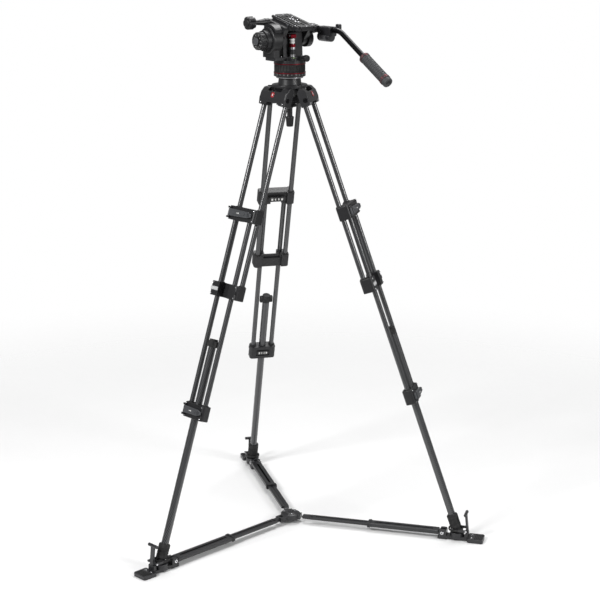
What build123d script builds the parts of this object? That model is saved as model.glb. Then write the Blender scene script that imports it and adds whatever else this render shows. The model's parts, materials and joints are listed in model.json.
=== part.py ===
from build123d import *
import os

# Camera tripod with twin-tube legs, ground spreader and fluid head.
# Units are millimetres, +Z is up, and the floor is Z = 0.
# Every leg is built pointing straight down from its hinge pin: X is outwards, Y is along the pin.
# The head is built about the bowl's centre: X is the operator's right and Y is the lens direction.

# ---- driving dimensions: tripod ----
BOWL_Z = 1545.0
BOWL_R = 50.0
RIM_R = 59.0
LEG_ANGLE = 19.33
FIRST_LEG_AZIMUTH = 224.3
HINGE_R = 70.0
HINGE_Z = 1500.0
FOOT_Z = 30.0
LEG_NAMES = ("a", "b", "c")

# ---- driving dimensions: legs (distances are measured down the leg from the hinge pin) ----
TUBE_R = 8.25
TUBE_WALL = 1.5
UPPER_X = -9.0
UPPER_Y = 50.0
SHOULDER_HALF = 61.0
LOWER_X = 10.0
MIDDLE_Y = 34.0
LOWER_R = 12.5
MIDDLE_LOCK_TOP = 368.0
MIDDLE_LOCK_TALL = 46.0
COLLAR_TOP = 622.0
COLLAR_TALL = 48.0
LOWER_LOCK_TOP = 1029.0
LOWER_LOCK_TALL = 50.0
GUIDE_TOP = 816.0
GUIDE_TALL = 20.0
BOOT_R = 19.0
BOOT_BALL_R = 17.0
BOOT_TALL = 62.0
SLIDE_GAP = 0.3
PIN_GAP = 0.05

# ---- driving dimensions: spreader ----
PAD_TALL = 12.0
CLEVIS_IN = 50.0
CLEVIS_Z = 22.0
ARM_TIP_R = 52.0
ARM_WIDE = 36.0
ARM_TALL = 14.0
SLEEVE_LONG = 250.0
ROD_WIDE = 28.0
ROD_TALL = 8.0
ROD_OVERLAP = 36.0
HUB_R = 46.0
HUB_LUG_R = 38.5  # short enough that a leg's stage can slide in without its arm meeting the hub

# ---- driving dimensions: head ----
HEAD_TURN = 38.3
TILT_Z = 147.0
REST_TILT = 13.3
SEAT_Z = 190.0
RAIL_Z = 212.0
PLATE_Z = 206.0
PLATE_TOP_Z = 213.6
PLATE_LONG = 140.0
PLATE_Y = -10.0
SEAT_BACK = -78.0
SEAT_FRONT = 60.0
BAR_X = 88.0
BAR_Z = 178.0
BEND_Y = -150.0
BAR_END = (BAR_X, -377.0, 38.5)
GRIP_LONG = 142.0
ROSETTE_Y = -39.0
ROSETTE_Z = 181.0


def box(x0, x1, y0, y1, z0, z1):
    """A box between two corners."""
    size = (x1 - x0, y1 - y0, z1 - z0)
    middle = ((x0 + x1) / 2, (y0 + y1) / 2, (z0 + z1) / 2)
    return Pos(*middle) * Box(*size)


def soft_box(x0, x1, y0, y1, z0, z1, radius, axis=Axis.Z):
    """A box whose edges along one axis are rounded."""
    block = box(x0, x1, y0, y1, z0, z1)
    return fillet(block.edges().filter_by(axis), radius)


def pebble(x0, x1, y0, y1, z0, z1, radius, edge=1.5):
    """A box rounded on its upright edges, with a small round on the rims."""
    block = soft_box(x0, x1, y0, y1, z0, z1, radius)
    rims = block.faces().sort_by(Axis.Z)[0].edges() + block.faces().sort_by(Axis.Z)[-1].edges()
    return fillet(rims, edge)


def rod_z(x, y, z0, z1, radius):
    """An upright round bar."""
    return Pos(x, y, (z0 + z1) / 2) * Cylinder(radius, z1 - z0)


def rod_x(x0, x1, y, z, radius):
    """A round bar along X."""
    return Pos((x0 + x1) / 2, y, z) * Rot(0, 90, 0) * Cylinder(radius, x1 - x0)


def rod_y(x, y0, y1, z, radius):
    """A round bar along Y."""
    return Pos(x, (y0 + y1) / 2, z) * Rot(90, 0, 0) * Cylinder(radius, y1 - y0)


def tube_z(x, y, z0, z1, radius, wall):
    """An upright tube."""
    return rod_z(x, y, z0, z1, radius) - rod_z(x, y, z0 - 1, z1 + 1, radius - wall)


# ---------------------------------------------------------------- leg


def hip():
    """The sculpted shoulder that swings on the crown and holds the two upper tubes."""
    side = Plane.XZ * Polygon((-20, -20), (9, -20), (13, 0), (11, 22), (3, 37), (-8, 43), (-20, 30), align=None)
    body = extrude(side, SHOULDER_HALF, both=True)
    ends = [edge for edge in body.edges().filter_by(Plane.XZ) if edge.center().X > 0]
    body = fillet(ends, 4)
    # the crown's rim and bowl stand inside the shoulder
    clear = Pos(-HINGE_R * cos_deg(LEG_ANGLE), 0, HINGE_R * sin_deg(LEG_ANGLE)) * Rot(0, LEG_ANGLE, 0)
    body -= clear * Cylinder(RIM_R + 2.5, 300)
    body -= box(-30, 9.5, -31, 31, -40, 60)
    body -= box(-30, 40, -24, 24, -40, -12)
    for side_y in (-1, 1):
        body -= rod_z(UPPER_X, side_y * UPPER_Y, -30, -11, TUBE_R + 0.01)
    body -= rod_y(0, -80, 80, 0, 5.0 + PIN_GAP)
    return body


def upper_tubes():
    """Two carbon tubes from the shoulder to the collar."""
    bottom = -(COLLAR_TOP + COLLAR_TALL - 4)
    pair = [tube_z(UPPER_X, side * UPPER_Y, bottom, -11.5, TUBE_R, TUBE_WALL) for side in (-1, 1)]
    return Compound(children=pair)


def collar():
    """The plain block at the bottom of the upper tubes; the middle and lower stages run through it."""
    z1 = -COLLAR_TOP
    z0 = z1 - COLLAR_TALL
    body = pebble(-22, 23, -63, 63, z0, z1, 10, 2)
    body -= box(-5.5, 30, -24.5, 24.5, z0 - 5, z1 + 5)
    body -= box(-30, -14, -36, 36, z0 - 5, z1 + 5)
    body -= box(-30, -8, -30, 30, z1 - 14, z1 + 5)
    for side in (-1, 1):
        body -= rod_z(UPPER_X, side * UPPER_Y, z0 + 4, z1 + 5, TUBE_R + 0.01)
        body -= rod_z(LOWER_X, side * MIDDLE_Y, z0 - 5, z1 + 5, TUBE_R + SLIDE_GAP)
    return body


def middle_lock():
    """The lever block at the top of the middle tubes; it slides on the upper tubes."""
    z1 = -MIDDLE_LOCK_TOP
    z0 = z1 - MIDDLE_LOCK_TALL
    body = pebble(-21, 24, -63, 63, z0, z1, 10, 2)
    body -= box(-30, -12, -36, 36, z0 - 5, z1 + 5)
    body -= box(-30, 12, -20, 20, z0 - 5, z1 - 30)
    for side in (-1, 1):
        body -= rod_z(UPPER_X, side * UPPER_Y, z0 - 5, z1 + 5, TUBE_R + SLIDE_GAP)
        body -= rod_z(LOWER_X, side * MIDDLE_Y, z0 - 5, z1 - 6, TUBE_R + 0.01)
        body -= Pos(24, side * 38, z1 - 5) * Box(3, 24, 3)
    ears = box(22, 33, -60, -48, z1 - 10, z1 - 4) + box(22, 33, -60, -48, z0 + 4, z0 + 10)
    body += fillet(ears.edges().filter_by(Axis.Z).sort_by(Axis.X)[-4:], 2)
    body -= rod_z(28, -54, z0, z1, 2.0 + PIN_GAP)
    return body


def middle_tubes():
    """Two carbon tubes between the middle lock and the lower lock."""
    z1 = -(MIDDLE_LOCK_TOP + 6.5)
    z0 = -(LOWER_LOCK_TOP + LOWER_LOCK_TALL - 4)
    pair = [tube_z(LOWER_X, side * MIDDLE_Y, z0, z1, TUBE_R, TUBE_WALL) for side in (-1, 1)]
    return Compound(children=pair)


def lower_lock():
    """The lever block at the bottom of the middle tubes; the lower tube slides through it."""
    z1 = -LOWER_LOCK_TOP
    z0 = z1 - LOWER_LOCK_TALL
    body = pebble(-9, 28, -47, 47, z0, z1, 10, 2)
    body -= rod_z(LOWER_X, 0, z0 - 5, z1 + 5, LOWER_R + SLIDE_GAP)
    body -= box(-20, -4, -24, 24, z0 + 12, z1 - 12)
    for side in (-1, 1):
        body -= rod_z(LOWER_X, side * MIDDLE_Y, z0 + 4, z1 + 5, TUBE_R + 0.01)
        body -= Pos(28, side * 30, z1 - 5) * Box(3, 20, 3)
    ears = box(26, 37, -44, -32, z1 - 12, z1 - 6) + box(26, 37, -44, -32, z0 + 6, z0 + 12)
    body += fillet(ears.edges().filter_by(Axis.Z).sort_by(Axis.X)[-4:], 2)
    body -= rod_z(32, -38, z0, z1, 2.0 + PIN_GAP)
    return body


def lever(x, y_pin, y_tip, z_middle, tall, reach):
    """A tongue-shaped cam lever lying across the outer face of a lock, with its own pin."""
    low = z_middle - tall / 2
    high = z_middle + tall / 2
    tongue = extrude(
        Plane.YZ
        * Polygon(
            (y_pin + 4, low),
            (y_tip - 16, low + 2),
            (y_tip, z_middle - 5),
            (y_tip, z_middle + 5),
            (y_tip - 16, high - 2),
            (y_pin + 4, high),
            align=None,
        ),
        6,
    )
    tongue = fillet(tongue.edges().filter_by(Axis.X), 3.5)
    tongue = Pos(x + 1, 0, 0) * tongue
    tongue = fillet(tongue.faces().sort_by(Axis.X)[-1].edges(), 1.5)
    barrel = rod_z(x + 1, y_pin, low, high, 3.7)
    pin = rod_z(x + 1, y_pin, z_middle - reach, z_middle + reach, 2.0)
    return tongue + barrel + pin


def middle_lever():
    """The lever of the middle lock."""
    middle = -(MIDDLE_LOCK_TOP + MIDDLE_LOCK_TALL / 2)
    return lever(27, -54, 52, middle, 24, 18)


def lower_lever():
    """The lever of the lower lock."""
    middle = -(LOWER_LOCK_TOP + LOWER_LOCK_TALL / 2)
    return lever(31, -38, 44, middle, 24, 18)


def leg_end():
    """The point on the lower tube's axis where the boot's ball turns in the foot plate."""
    return (HINGE_Z - FOOT_Z + LOWER_X * sin_deg(LEG_ANGLE)) / cos_deg(LEG_ANGLE)


def lower_tube():
    """The single thick carbon tube of the last stage."""
    return tube_z(LOWER_X, 0, -(leg_end() - 26), -(GUIDE_TOP + 6.5), LOWER_R, 2.0)


def boot_and_guide():
    """The humped guide on top of the lower tube, and the boot with its ball at the bottom."""
    guide = soft_box(2, 18, -23.2, 23.2, -(GUIDE_TOP + GUIDE_TALL), -GUIDE_TOP, 4, Axis.Z)
    guide += rod_z(LOWER_X, 0, -(GUIDE_TOP + GUIDE_TALL), -GUIDE_TOP + 6, 14)
    guide &= box(-10, 30, -24, 24, -(GUIDE_TOP + GUIDE_TALL), -GUIDE_TOP + 6)
    guide -= rod_z(LOWER_X, 0, -(GUIDE_TOP + GUIDE_TALL + 1), -(GUIDE_TOP + 6), LOWER_R + 0.01)
    end = -leg_end()
    boot = rod_z(LOWER_X, 0, end + 14, end + BOOT_TALL, BOOT_R)
    boot = chamfer(boot.edges().filter_by(GeomType.CIRCLE).sort_by(Axis.Z)[-1:], 3)
    for ring in range(3):
        z = end + 26 + ring * 9
        boot -= tube_z(LOWER_X, 0, z, z + 3, BOOT_R + 2, 3.2)
    boot += rod_z(LOWER_X, 0, end, end + 14, 13)
    boot += Pos(LOWER_X, 0, end) * Sphere(BOOT_BALL_R)
    boot -= rod_z(LOWER_X, 0, end + 25.5, end + BOOT_TALL + 1, LOWER_R + 0.01)
    return Compound(children=[guide, boot])


# ---------------------------------------------------------------- spreader


def foot_plate():
    """The foot of the spreader: pad, ball cup, clevis for the arm and the catch that holds the boot."""
    plate = pebble(-44, 60, -17, 17, 2, PAD_TALL, 6, 1)
    pad = pebble(38, 92, -29, 29, 0, PAD_TALL + 1, 7, 1.2)
    heel = pebble(-66, -30, -19, 19, 0, PAD_TALL - 2, 6, 1.2)
    body = plate + pad + heel
    cup = rod_z(0, 0, 4, 27, 24)
    cup = fillet(cup.edges().filter_by(GeomType.CIRCLE).sort_by(Axis.Z)[-1:], 2)
    body += cup
    body -= Pos(0, 0, FOOT_Z) * Sphere(BOOT_BALL_R + 0.4)
    body -= rod_z(0, 0, FOOT_Z - 1, 60, BOOT_BALL_R + 0.4)
    clevis = box(-CLEVIS_IN - 11, -CLEVIS_IN + 14, -18, 18, 4, CLEVIS_Z + 10)
    clevis = fillet(clevis.edges().filter_by(Axis.Y).sort_by(Axis.Z)[-2:], 7)
    clevis -= box(-CLEVIS_IN - 30, -CLEVIS_IN + 10.5, -7, 7, PAD_TALL - 1, 60)
    body += clevis
    body -= box(-CLEVIS_IN - 30, -CLEVIS_IN + 10.5, -7, 7, PAD_TALL - 1, 60)
    body -= rod_y(-CLEVIS_IN, -30, 30, CLEVIS_Z, 4.0 + PIN_GAP)
    strut = box(30, 40, -14, 14, PAD_TALL - 2, 30)
    strut = fillet(strut.edges().filter_by(Axis.Y).sort_by(Axis.Z)[-2:], 4)
    body += strut
    return body


def catch():
    """The catch of a foot plate: two side links, an upright lever and its cross handle."""
    lever_bar = Pos(33, 0, 62) * Rot(0, -6, 0) * Box(7, 15, 66)
    lever_bar = fillet(lever_bar.edges().filter_by(Axis.Y), 2)
    handle = fillet(rod_y(29.5, -22, 22, 95, 5.5).edges(), 2)
    links = [fillet(box(-6, 36, s * 20.5 - 2.5, s * 20.5 + 2.5, 33, 41).edges().filter_by(Axis.Y), 3) for s in (-1, 1)]
    axle = rod_y(33, -23, 23, 37, 3)
    return lever_bar + handle + links[0] + links[1] + axle


def arm_sleeve():
    """The outer half of a spreader arm; its pin turns in the foot plate's clevis."""
    start = -CLEVIS_IN - 14
    end = start - SLEEVE_LONG
    z0 = CLEVIS_Z - ARM_TALL / 2
    z1 = CLEVIS_Z + ARM_TALL / 2
    body = box(end, start, -ARM_WIDE / 2, ARM_WIDE / 2, z0, z1)
    body = fillet(body.edges().filter_by(Axis.X), 3)
    body -= box(end - 1, start - 6, -ROD_WIDE / 2 - SLIDE_GAP, ROD_WIDE / 2 + SLIDE_GAP,
                CLEVIS_Z - ROD_TALL / 2 - SLIDE_GAP, CLEVIS_Z + ROD_TALL / 2 + SLIDE_GAP)
    body -= box(end + 22, start - 20, -4, 4, CLEVIS_Z, z1 + 1)
    tongue = box(start - 5, -CLEVIS_IN + 7, -6, 6, z0 + 1, z1 - 1)
    tongue = fillet(tongue.edges().filter_by(Axis.Y).sort_by(Axis.X)[-2:], 5)
    body += tongue
    body += rod_y(-CLEVIS_IN, -21, 21, CLEVIS_Z, 4.0)
    return body


def arm_rod(foot_r, with_pin):
    """The inner half of a spreader arm, from inside its sleeve to the hub."""
    sleeve_end = -CLEVIS_IN - 14 - SLEEVE_LONG
    tip = ARM_TIP_R - foot_r
    flat = box(tip + 24, sleeve_end + ROD_OVERLAP, -ROD_WIDE / 2, ROD_WIDE / 2,
               CLEVIS_Z - ROD_TALL / 2, CLEVIS_Z + ROD_TALL / 2)
    flat -= box(tip + 40, sleeve_end + ROD_OVERLAP - 14, -5, 5, CLEVIS_Z + 1.5, CLEVIS_Z + 20)
    blade = box(tip - 8, tip + 30, -5.8, 5.8, CLEVIS_Z - 7, CLEVIS_Z + 7)
    blade = fillet(blade.edges().filter_by(Axis.Y).sort_by(Axis.X)[:2], 6.5)
    body = flat + blade
    if with_pin:
        body += rod_y(tip, -16, 16, CLEVIS_Z, 3.0)
    return body


def hub():
    """The round hub; a clevis on the first arm's side carries it."""
    body = rod_z(0, 0, CLEVIS_Z - 8, CLEVIS_Z + 8, HUB_R - 12)
    body += Pos(0, 0, CLEVIS_Z + 8) * Cone(HUB_R - 16, HUB_R - 28, 6, align=(Align.CENTER, Align.CENTER, Align.MIN))
    body += box(20, HUB_R + 13, -14, 14, CLEVIS_Z - 8, CLEVIS_Z + 8)
    for turn in (120, 240):
        body += Rot(0, 0, turn) * box(20, HUB_LUG_R, -14, 14, CLEVIS_Z - 8, CLEVIS_Z + 8)
    body -= box(HUB_R - 8, HUB_R + 30, -6.4, 6.4, -50, 80)
    body -= rod_y(ARM_TIP_R, -30, 30, CLEVIS_Z, 3.0 + PIN_GAP)
    body -= rod_z(0, 0, CLEVIS_Z + 4, CLEVIS_Z + 30, 9)
    return fillet(body.edges().filter_by(GeomType.CIRCLE).sort_by(Axis.Z)[:1], 2)


# ---------------------------------------------------------------- crown and bowl


def crown():
    """The crown: the bowl with its rim, and three lugs for the shoulders."""
    rim = Pos(0, 0, -5) * Cylinder(RIM_R, 10)
    rim = fillet(rim.edges().filter_by(GeomType.CIRCLE), 1.5)
    shell = (Sphere(BOWL_R + 4.5) & box(-80, 80, -80, 80, -80, -6)) + rod_z(0, 0, -62, -30, 36)
    for k in range(3):
        lug = box(20, HINGE_R, -30.5, 30.5, HINGE_Z - BOWL_Z - 8.5, HINGE_Z - BOWL_Z + 8.5)
        lug += rod_y(HINGE_R, -30.5, 30.5, HINGE_Z - BOWL_Z, 8.5)
        shell += Rot(0, 0, FIRST_LEG_AZIMUTH + 120 * k) * lug
    body = rim + shell
    body -= Sphere(BOWL_R)
    body -= box(-BOWL_R, BOWL_R, -BOWL_R, BOWL_R, 0, 50)
    body -= rod_z(0, 0, -80, -20, 22)
    for k in range(3):
        turn = Rot(0, 0, FIRST_LEG_AZIMUTH + 120 * k)
        body -= turn * rod_y(HINGE_R, -40, 40, HINGE_Z - BOWL_Z, 5.0)
    return body


def hip_pins():
    """The three hinge pins of the legs, pressed into the crown's lugs."""
    pins = []
    for k in range(3):
        pin = rod_y(HINGE_R, 1 - SHOULDER_HALF, SHOULDER_HALF - 1, HINGE_Z - BOWL_Z, 5.0)
        pins.append(Rot(0, 0, FIRST_LEG_AZIMUTH + 120 * k) * pin)
    return Compound(children=pins)


def half_ball():
    """The levelling half ball with the head's turntable neck and its stem."""
    ball = Sphere(BOWL_R - 0.3) & box(-60, 60, -60, 60, -34, 1)
    neck = Pos(0, 0, 1) * Cone(39, 36, 20, align=(Align.CENTER, Align.CENTER, Align.MIN))
    flange = rod_z(0, 0, 21, 26, 44.5)
    flange = fillet(flange.edges().filter_by(GeomType.CIRCLE), 1)
    spindle = rod_z(0, 0, 26, 79, 30)
    stem = rod_z(0, 0, -104, -30, 6)
    return ball + neck + flange + spindle + stem


def bowl_clamp():
    """The hanging clamp handle with its washer, which pulls the half ball into the bowl."""
    body = rod_z(0, 0, -74, -68, 24)
    body += Pos(0, 0, -81) * Cone(9, 14, 8, align=(Align.CENTER, Align.CENTER, Align.MIN))
    body += rod_z(0, 0, -110, -80, 9)
    grip = Pos(0, 0, -124) * Cone(11, 14, 34)
    grip = fillet(grip.edges().filter_by(GeomType.CIRCLE), 3)
    body += grip
    for k in range(6):
        body -= Rot(0, 0, 60 * k) * rod_z(16.5, 0, -150, -106, 4.5)
    body -= rod_z(0, 0, -104.3, -60, 6 + PIN_GAP)
    return body


# ---------------------------------------------------------------- head


def base_ring():
    """The red ring at the foot of the turntable."""
    ring = rod_z(0, 0, 27, 42, 52.5) - rod_z(0, 0, 20, 60, 30.01)
    ring = fillet(ring.edges().filter_by(GeomType.CIRCLE).group_by(Axis.Z)[0], 1.5)
    ring += rod_z(0, 0, 26, 27.5, 44) - rod_z(0, 0, 20, 60, 30.01)
    return ring


def pan_drag_ring():
    """The ribbed ring that sets the pan drag."""
    ring = rod_z(0, 0, 42.3, 65.7, 50) - rod_z(0, 0, 20, 80, 30.06)
    for k in range(30):
        ring += Rot(0, 0, 12 * k) * box(49, 51.4, -2.6, 2.6, 44.5, 63.5)
    return ring


def top_ring():
    """The red ring on top of the turntable."""
    ring = rod_z(0, 0, 66, 80.5, 52.0) - rod_z(0, 0, 50, 90, 30.3)
    return fillet(ring.edges().filter_by(GeomType.CIRCLE).sort_by(Axis.Z)[-1:], 2)


def pan_body():
    """The turning base: deck, centre block with the tilt bearing, and the right-hand drag drum."""
    body = rod_z(0, 0, 80.5, 92, 42)
    body += pebble(-84, 44, -26, 26, 81, 92, 8, 1.5)
    core = Plane.YZ * Polygon((-18, 90), (30, 90), (32, 118), (26, 168), (14, 178), (-8, 178), (-17, 168), (-17, 118),
                              align=None)
    body += extrude(core, 40, both=True)
    body += rod_x(-70, 66, 0, TILT_Z, 14)
    body += rod_x(60.5, 78, 0, TILT_Z, 29)
    body -= rod_x(75, 90, 0, TILT_Z, 20)
    body -= rod_x(-90, -60, 0, TILT_Z, 14.3)
    return body


def balance_housing():
    """The counterbalance housing on the operator's left."""
    body = rod_x(-95, -60.5, 0, TILT_Z, 43)
    body = fillet(body.edges().filter_by(GeomType.CIRCLE).sort_by(Axis.X)[:1], 5)
    body += soft_box(-90, -62, -30, 30, 92, TILT_Z, 5, Axis.Z)
    body -= rod_x(-62, -55, 0, TILT_Z, 20)
    return body


def balance_knob():
    """The deep lobed dial that sets the counterbalance."""
    body = rod_x(-134, -112, 0, TILT_Z, 29)
    body = fillet(body.edges().filter_by(GeomType.CIRCLE).sort_by(Axis.X)[:1], 3)
    for k in range(12):
        body -= Pos(0, 0, TILT_Z) * Rot(30 * k, 0, 0) * rod_x(-140, -116, 0, 31.5, 4.5)
    body += rod_x(-112, -95.3, 0, TILT_Z, 33)
    body += rod_x(-139, -133, 0, TILT_Z, 13)
    return body


def piston_barrel():
    """The barrel of the counterbalance piston, standing on the deck behind the centre block."""
    body = rod_z(-12, -29, 92, 124, 10) + rod_z(-12, -29, 134, 152, 8) + rod_z(-12, -29, 124, 134, 6)
    return body


def piston_clevis():
    """The red ends of the counterbalance piston."""
    top = soft_box(-22, -2, -36.5, -19, 152, 166, 4, Axis.X)
    low = rod_z(-12, -29, 124, 134, 11) - rod_z(-12, -29, 120, 140, 6)
    return Compound(children=[top, low])


def pan_lock_knob():
    """The small pan brake knob at the back of the deck."""
    body = rod_y(16, -66, -43, 88, 4)
    knob = rod_y(16, -74, -60, 88, 11)
    knob = fillet(knob.edges().filter_by(GeomType.CIRCLE), 2)
    body += knob
    for k in range(6):
        body -= Pos(16, 0, 88) * Rot(0, 60 * k, 0) * rod_y(12.8, -80, -50, 0, 3)
    return body


def tilt_body():
    """The tilting saddle: two cheeks on the tilt bearing, the seat of the sliding plate and the housing's shroud."""
    seat = soft_box(-40, 58.5, -46, 56, SEAT_Z, SEAT_Z + 9, 8)
    body = seat + soft_box(-40, 40, SEAT_BACK, SEAT_FRONT, SEAT_Z + 8, SEAT_Z + 15, 8)
    body -= box(-24, 24, -90, 90, PLATE_Z - 5, 240)
    for x0, x1 in ((-58.5, -42), (42, 58.5)):
        cheek = Plane.YZ * Polygon((20, TILT_Z), (52, 176), (60, SEAT_Z + 1), (-40, SEAT_Z + 1), (-20, TILT_Z),
                                   align=None)
        body += Pos(x0, 0, 0) * extrude(cheek, x1 - x0)
        body += rod_x(x0, x1, 0, TILT_Z, 22)
    body += box(-58.5, -38, -40, 62, SEAT_Z, SEAT_Z + 9)
    body += box(-58.5, -44, 34, 62, SEAT_Z - 10, SEAT_Z + 9)
    shroud = rod_x(-88, -57, 0, TILT_Z, 53) - rod_x(-95, -50, 0, TILT_Z, 44.5)
    body += shroud & box(-90, -50, -30, 32, TILT_Z + 25, TILT_Z + 60)
    for side in (-1, 1):
        rail = box(min(side * 30.4, side * 40), max(side * 30.4, side * 40), SEAT_BACK, SEAT_FRONT, SEAT_Z + 14, RAIL_Z)
        body += chamfer(rail.edges().filter_by(Axis.Y).sort_by(Axis.Z)[-2:], 2)
    spot = rosette_spot()
    body += rod_x(55, 61, spot.Y, spot.Z, 17)
    body -= rod_x(-80, 80, 0, TILT_Z, 14 + PIN_GAP)
    return body


def rosette_spot():
    """Where the rosette's axis stands on the saddle while the saddle is level."""
    return Vector(0, ROSETTE_Y, ROSETTE_Z - TILT_Z).rotate(Axis.X, -REST_TILT) + Vector(0, 0, TILT_Z)


def camera_plate():
    """The sliding quick-release plate."""
    half = PLATE_LONG / 2
    body = soft_box(-28, 28, -half, half, PLATE_Z, PLATE_TOP_Z, 5)
    body += soft_box(-22, 22, -half, half, PLATE_Z - 4.4, PLATE_Z + 2, 3)
    for y in (-42, -14, 14, 42):
        body -= soft_box(-4.9, 4.9, y - 11, y + 11, PLATE_Z - 10, PLATE_TOP_Z + 5, 4.8)
    for y in (-59, 59):
        body -= box(-22, 22, y - 1.5, y + 1.5, PLATE_TOP_Z - 1, PLATE_TOP_Z + 3)
    return Pos(0, PLATE_Y, 0) * body


def camera_screws():
    """The large and the small camera screw, held in the plate's slots."""
    large = rod_z(0, PLATE_Y + 14, PLATE_Z - 4, PLATE_TOP_Z + 0.5, 4.2)
    large += rod_z(0, PLATE_Y + 14, PLATE_TOP_Z + 0.5, PLATE_TOP_Z + 8, 4.76)
    small = rod_z(0, PLATE_Y - 14, PLATE_Z - 4, PLATE_TOP_Z - 6, 4.8)
    small += rod_z(0, PLATE_Y - 14, PLATE_TOP_Z - 6, PLATE_TOP_Z + 7, 3.175)
    return Compound(children=[large, small])


def plate_lock_knob():
    """The plate clamp: a flared stem and a lobed knob."""
    y = 48
    z = 193
    body = rod_x(-76, -58.8, y, z, 12)
    body += Pos(-97, y, z) * Rot(0, -90, 0) * Cone(11, 7, 44)
    body += rod_x(-124, -116, y, z, 9)
    knob = rod_x(-148, -122, y, z, 21)
    knob = fillet(knob.edges().filter_by(GeomType.CIRCLE), 3)
    for k in range(5):
        knob -= Pos(0, y, z) * Rot(72 * k, 0, 0) * rod_x(-160, -110, 0, 25, 8)
    return body + knob


def bar_bracket():
    """The rosette, its arm and the clamp that holds the pan bar."""
    body = rod_x(61.3, 72, ROSETTE_Y, ROSETTE_Z, 16)
    body += rod_x(72, 84, ROSETTE_Y, ROSETTE_Z, 12)
    body += soft_box(70, 80, -70, -34, 168, 190, 4, Axis.X)
    barrel = rod_y(BAR_X, -110, -50, 155, 15)
    body += fillet(barrel.edges().filter_by(GeomType.CIRCLE), 2.5)
    body += soft_box(73, 103, -116, -56, 158, BAR_Z + 11, 5, Axis.Y)
    body -= rod_y(BAR_X, -150, -64, BAR_Z, 9.0 + 0.01)
    body += rod_x(100, 116, -108, BAR_Z + 6, 4)
    wing = soft_box(112, 124, -116, -100, BAR_Z - 6, BAR_Z + 18, 5, Axis.X)
    return body + wing


def pan_bar():
    """The aluminium pan bar with its one bend."""
    path = FilletPolyline((BAR_X, -66, BAR_Z), (BAR_X, BEND_Y, BAR_Z), BAR_END, radius=60)
    start = Plane(origin=path @ 0, z_dir=path % 0)
    return sweep(start * Circle(9), path)


def grip():
    """The round hand grip with its collars and end cap."""
    slope = (Vector(*BAR_END) - Vector(BAR_X, BEND_Y, BAR_Z)).normalized()
    end = Vector(*BAR_END) + slope * 14
    place = Plane(origin=end - slope * GRIP_LONG, z_dir=slope)
    body = Cylinder(16.8, GRIP_LONG, align=(Align.CENTER, Align.CENTER, Align.MIN))
    body = fillet(body.edges().filter_by(GeomType.CIRCLE), 4)
    for z in (4, GRIP_LONG - 24):
        body += Pos(0, 0, z) * Cylinder(17.8, 9, align=(Align.CENTER, Align.CENTER, Align.MIN))
    for k in range(11):
        body -= Pos(0, 0, 20 + 9 * k) * (Cylinder(20, 2) - Cylinder(16.2, 4))
    body -= Pos(0, 0, -1) * Cylinder(9.01, GRIP_LONG - 13, align=(Align.CENTER, Align.CENTER, Align.MIN))
    return place * body


# ---------------------------------------------------------------- assembly


def sin_deg(angle):
    """The sine of an angle in degrees."""
    return Vector(1, 0, 0).rotate(Axis.Z, angle).Y


def cos_deg(angle):
    """The cosine of an angle in degrees."""
    return Vector(1, 0, 0).rotate(Axis.Z, angle).X


def foot_radius():
    """How far the boot's ball stands from the tripod's axis."""
    return HINGE_R + LOWER_X * cos_deg(LEG_ANGLE) + leg_end() * sin_deg(LEG_ANGLE)


def build():
    """Every node of the tripod, standing about the tripod's own axis."""
    nodes = {}
    head_place = Pos(0, 0, BOWL_Z) * Rot(0, 0, HEAD_TURN)
    for k, name in enumerate(LEG_NAMES):
        turn = Rot(0, 0, FIRST_LEG_AZIMUTH + 120 * k)
        leg_place = turn * Pos(HINGE_R, 0, HINGE_Z) * Rot(0, -LEG_ANGLE, 0)
        foot_place = turn * Pos(foot_radius(), 0, 0)
        leg = f"leg_{name}_"
        nodes[leg + "shoulder"] = leg_place * hip()
        nodes[leg + "upper_tubes"] = leg_place * upper_tubes()
        nodes[leg + "collar"] = leg_place * collar()
        nodes[leg + "middle_lock"] = leg_place * middle_lock()
        nodes[leg + "middle_tubes"] = leg_place * middle_tubes()
        nodes[leg + "middle_lever"] = leg_place * middle_lever()
        nodes[leg + "lower_lock"] = leg_place * lower_lock()
        nodes[leg + "lower_lever"] = leg_place * lower_lever()
        nodes[leg + "lower_tube"] = leg_place * lower_tube()
        nodes[leg + "boot_and_guide"] = leg_place * boot_and_guide()
        nodes[leg + "foot_plate"] = foot_place * Compound(children=[foot_plate(), catch()])
        nodes[f"arm_{name}_sleeve"] = foot_place * arm_sleeve()
        nodes[f"arm_{name}_rod"] = foot_place * arm_rod(foot_radius(), name == "a")
    nodes["spreader_hub"] = Rot(0, 0, FIRST_LEG_AZIMUTH) * hub()
    nodes["crown"] = Pos(0, 0, BOWL_Z) * crown()
    nodes["hip_pins"] = Pos(0, 0, BOWL_Z) * hip_pins()
    head = {
        "half_ball": half_ball,
        "bowl_clamp": bowl_clamp,
        "base_ring": base_ring,
        "pan_drag_ring": pan_drag_ring,
        "top_ring": top_ring,
        "pan_body": pan_body,
        "balance_housing": balance_housing,
        "balance_knob": balance_knob,
        "piston_barrel": piston_barrel,
        "piston_clevis": piston_clevis,
        "pan_lock_knob": pan_lock_knob,
        "tilt_body": tilt_body,
        "camera_plate": camera_plate,
        "camera_screws": camera_screws,
        "plate_lock_knob": plate_lock_knob,
        "bar_bracket": bar_bracket,
        "pan_bar": pan_bar,
        "grip": grip,
    }
    tilt = Pos(0, 0, TILT_Z) * Rot(REST_TILT, 0, 0) * Pos(0, 0, -TILT_Z)
    tilted = ("tilt_body", "camera_plate", "camera_screws", "plate_lock_knob")
    for name, make in head.items():
        nodes[name] = head_place * tilt * make() if name in tilted else head_place * make()
    return nodes


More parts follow.
